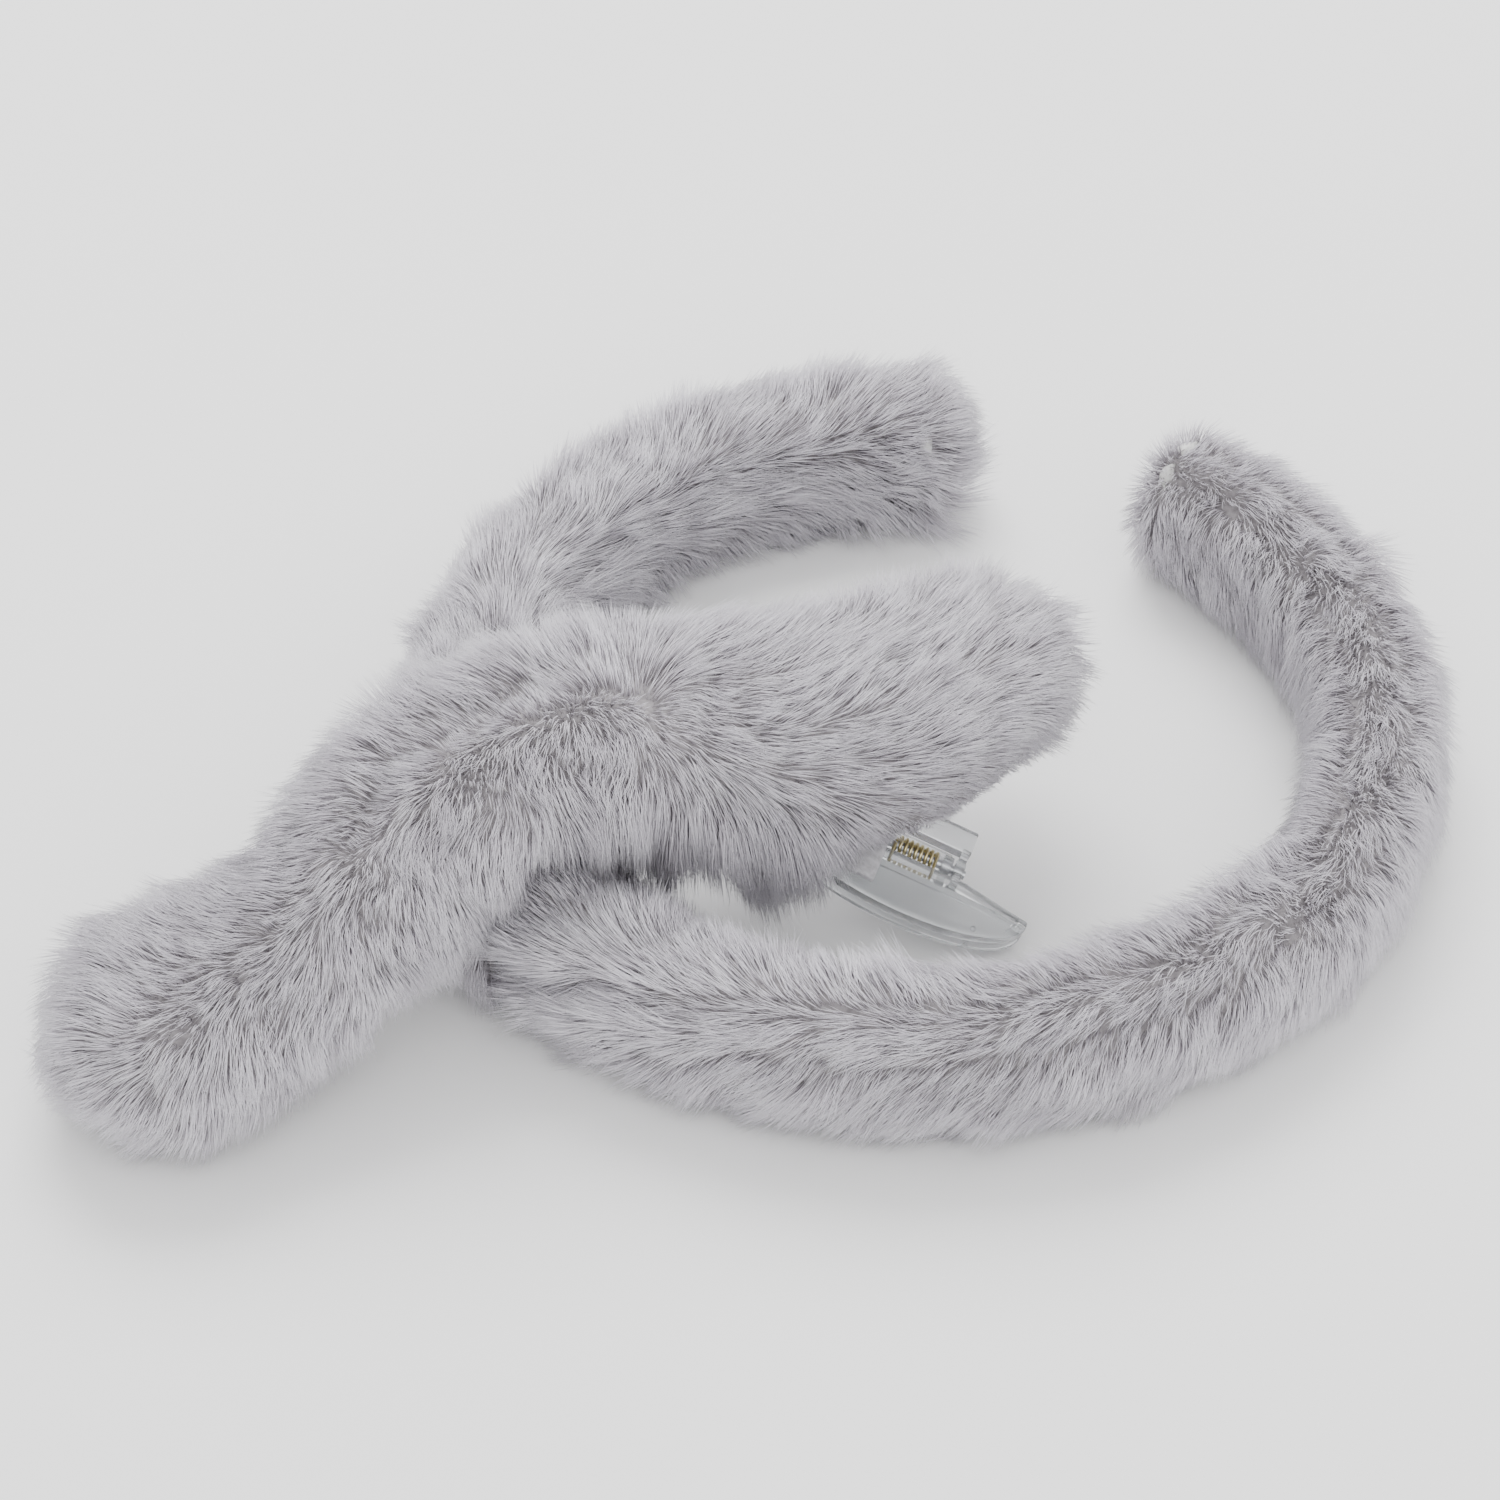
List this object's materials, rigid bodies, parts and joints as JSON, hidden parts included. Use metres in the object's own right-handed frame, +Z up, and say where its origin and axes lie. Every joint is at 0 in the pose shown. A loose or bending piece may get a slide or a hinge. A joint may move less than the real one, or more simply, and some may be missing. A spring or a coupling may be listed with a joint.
{
  "type": "animal ears headband",
  "caption": "Springy open headband in a long-pile fur sleeve, with a pair of bendable plush ears on a sliding fur loop and a small sprung hair clip.",
  "frame": {"origin": "middle of the crown's flat lower face, under the band's centre line", "axes": "+Z up, along the ring's axis; +Y from the crown through the ring's centre to the gap between the arms' tips; +X to the right"},
  "size_m": [0.1799, 0.1945, 0.05],
  "materials": {
    "fur": "long-pile faux fur, pale cool grey",
    "wadding": "soft white wadding",
    "spring_steel": "bare spring steel",
    "tip_plastic": "dipped plastic tip cap",
    "felt": "grey felt",
    "clear_plastic": "clear moulded plastic",
    "brass": "bright brass-coloured spring wire"
  },
  "bodies": {
    "band_crown": {"core_crown": "spring_steel", "wadding_crown": "wadding", "sleeve_crown": "fur"},
    "left_arm": {"core_left": "spring_steel", "core_tip_left": "tip_plastic", "wadding_left": "wadding", "sleeve_left": "fur", "sleeve_end_left": "fur"},
    "right_arm": {"core_right": "spring_steel", "core_tip_right": "tip_plastic", "wadding_right": "wadding", "sleeve_right": "fur", "sleeve_end_right": "fur"},
    "ears_saddle": {"band_loop": "fur", "saddle_cover": "fur", "saddle_filling": "wadding"},
    "ear_outer": {"ear_outer_cover": "fur", "ear_outer_filling": "wadding", "ear_outer_wire": "spring_steel"},
    "ear_inner": {"ear_inner_cover": "fur", "ear_inner_filling": "wadding", "ear_inner_wire": "spring_steel", "clip_pad": "felt", "clip_base": "clear_plastic", "clip_pin": "spring_steel", "clip_spring": "brass"},
    "clip_jaw": {"clip_lid": "clear_plastic"}
  },
  "joints": [
    {"name": "left_arm_flex", "type": "hinge", "parent": "band_crown", "child": "left_arm", "pos_m": [-0.07593, 0.04337, 0.012], "axis": [0, 0, 1], "range_deg": [0, 20], "stiffness_Nm_per_rad": 0.9},
    {"name": "right_arm_flex", "type": "hinge", "parent": "band_crown", "child": "right_arm", "pos_m": [0.07593, 0.04337, 0.012], "axis": [0, 0, -1], "range_deg": [0, 20], "stiffness_Nm_per_rad": 0.9},
    {"name": "ears_slide", "type": "hinge", "parent": "band_crown", "child": "ears_saddle", "pos_m": [0, 0.071, 0], "axis": [0, 0, 1], "range_deg": [-10, 95]},
    {"name": "ear_outer_tilt", "type": "hinge", "parent": "ears_saddle", "child": "ear_outer", "pos_m": [-0.0594, 0.0116, 0.0446], "axis": [-0.7071, 0.7071, 0], "range_deg": [0, 60]},
    {"name": "ear_inner_tilt", "type": "hinge", "parent": "ears_saddle", "child": "ear_inner", "pos_m": [-0.03535, 0.03565, 0.0477], "axis": [0.7071, -0.7071, 0], "range_deg": [0, 60]},
    {"name": "clip_open", "type": "hinge", "parent": "ear_inner", "child": "clip_jaw", "pos_m": [0.00749, 0.04653, 0.0098], "axis": [0.9415, 0.0658, -0.3305], "range_deg": [0, 35], "stiffness_Nm_per_rad": 0.02, "springref_deg": -34.38}
  ]
}
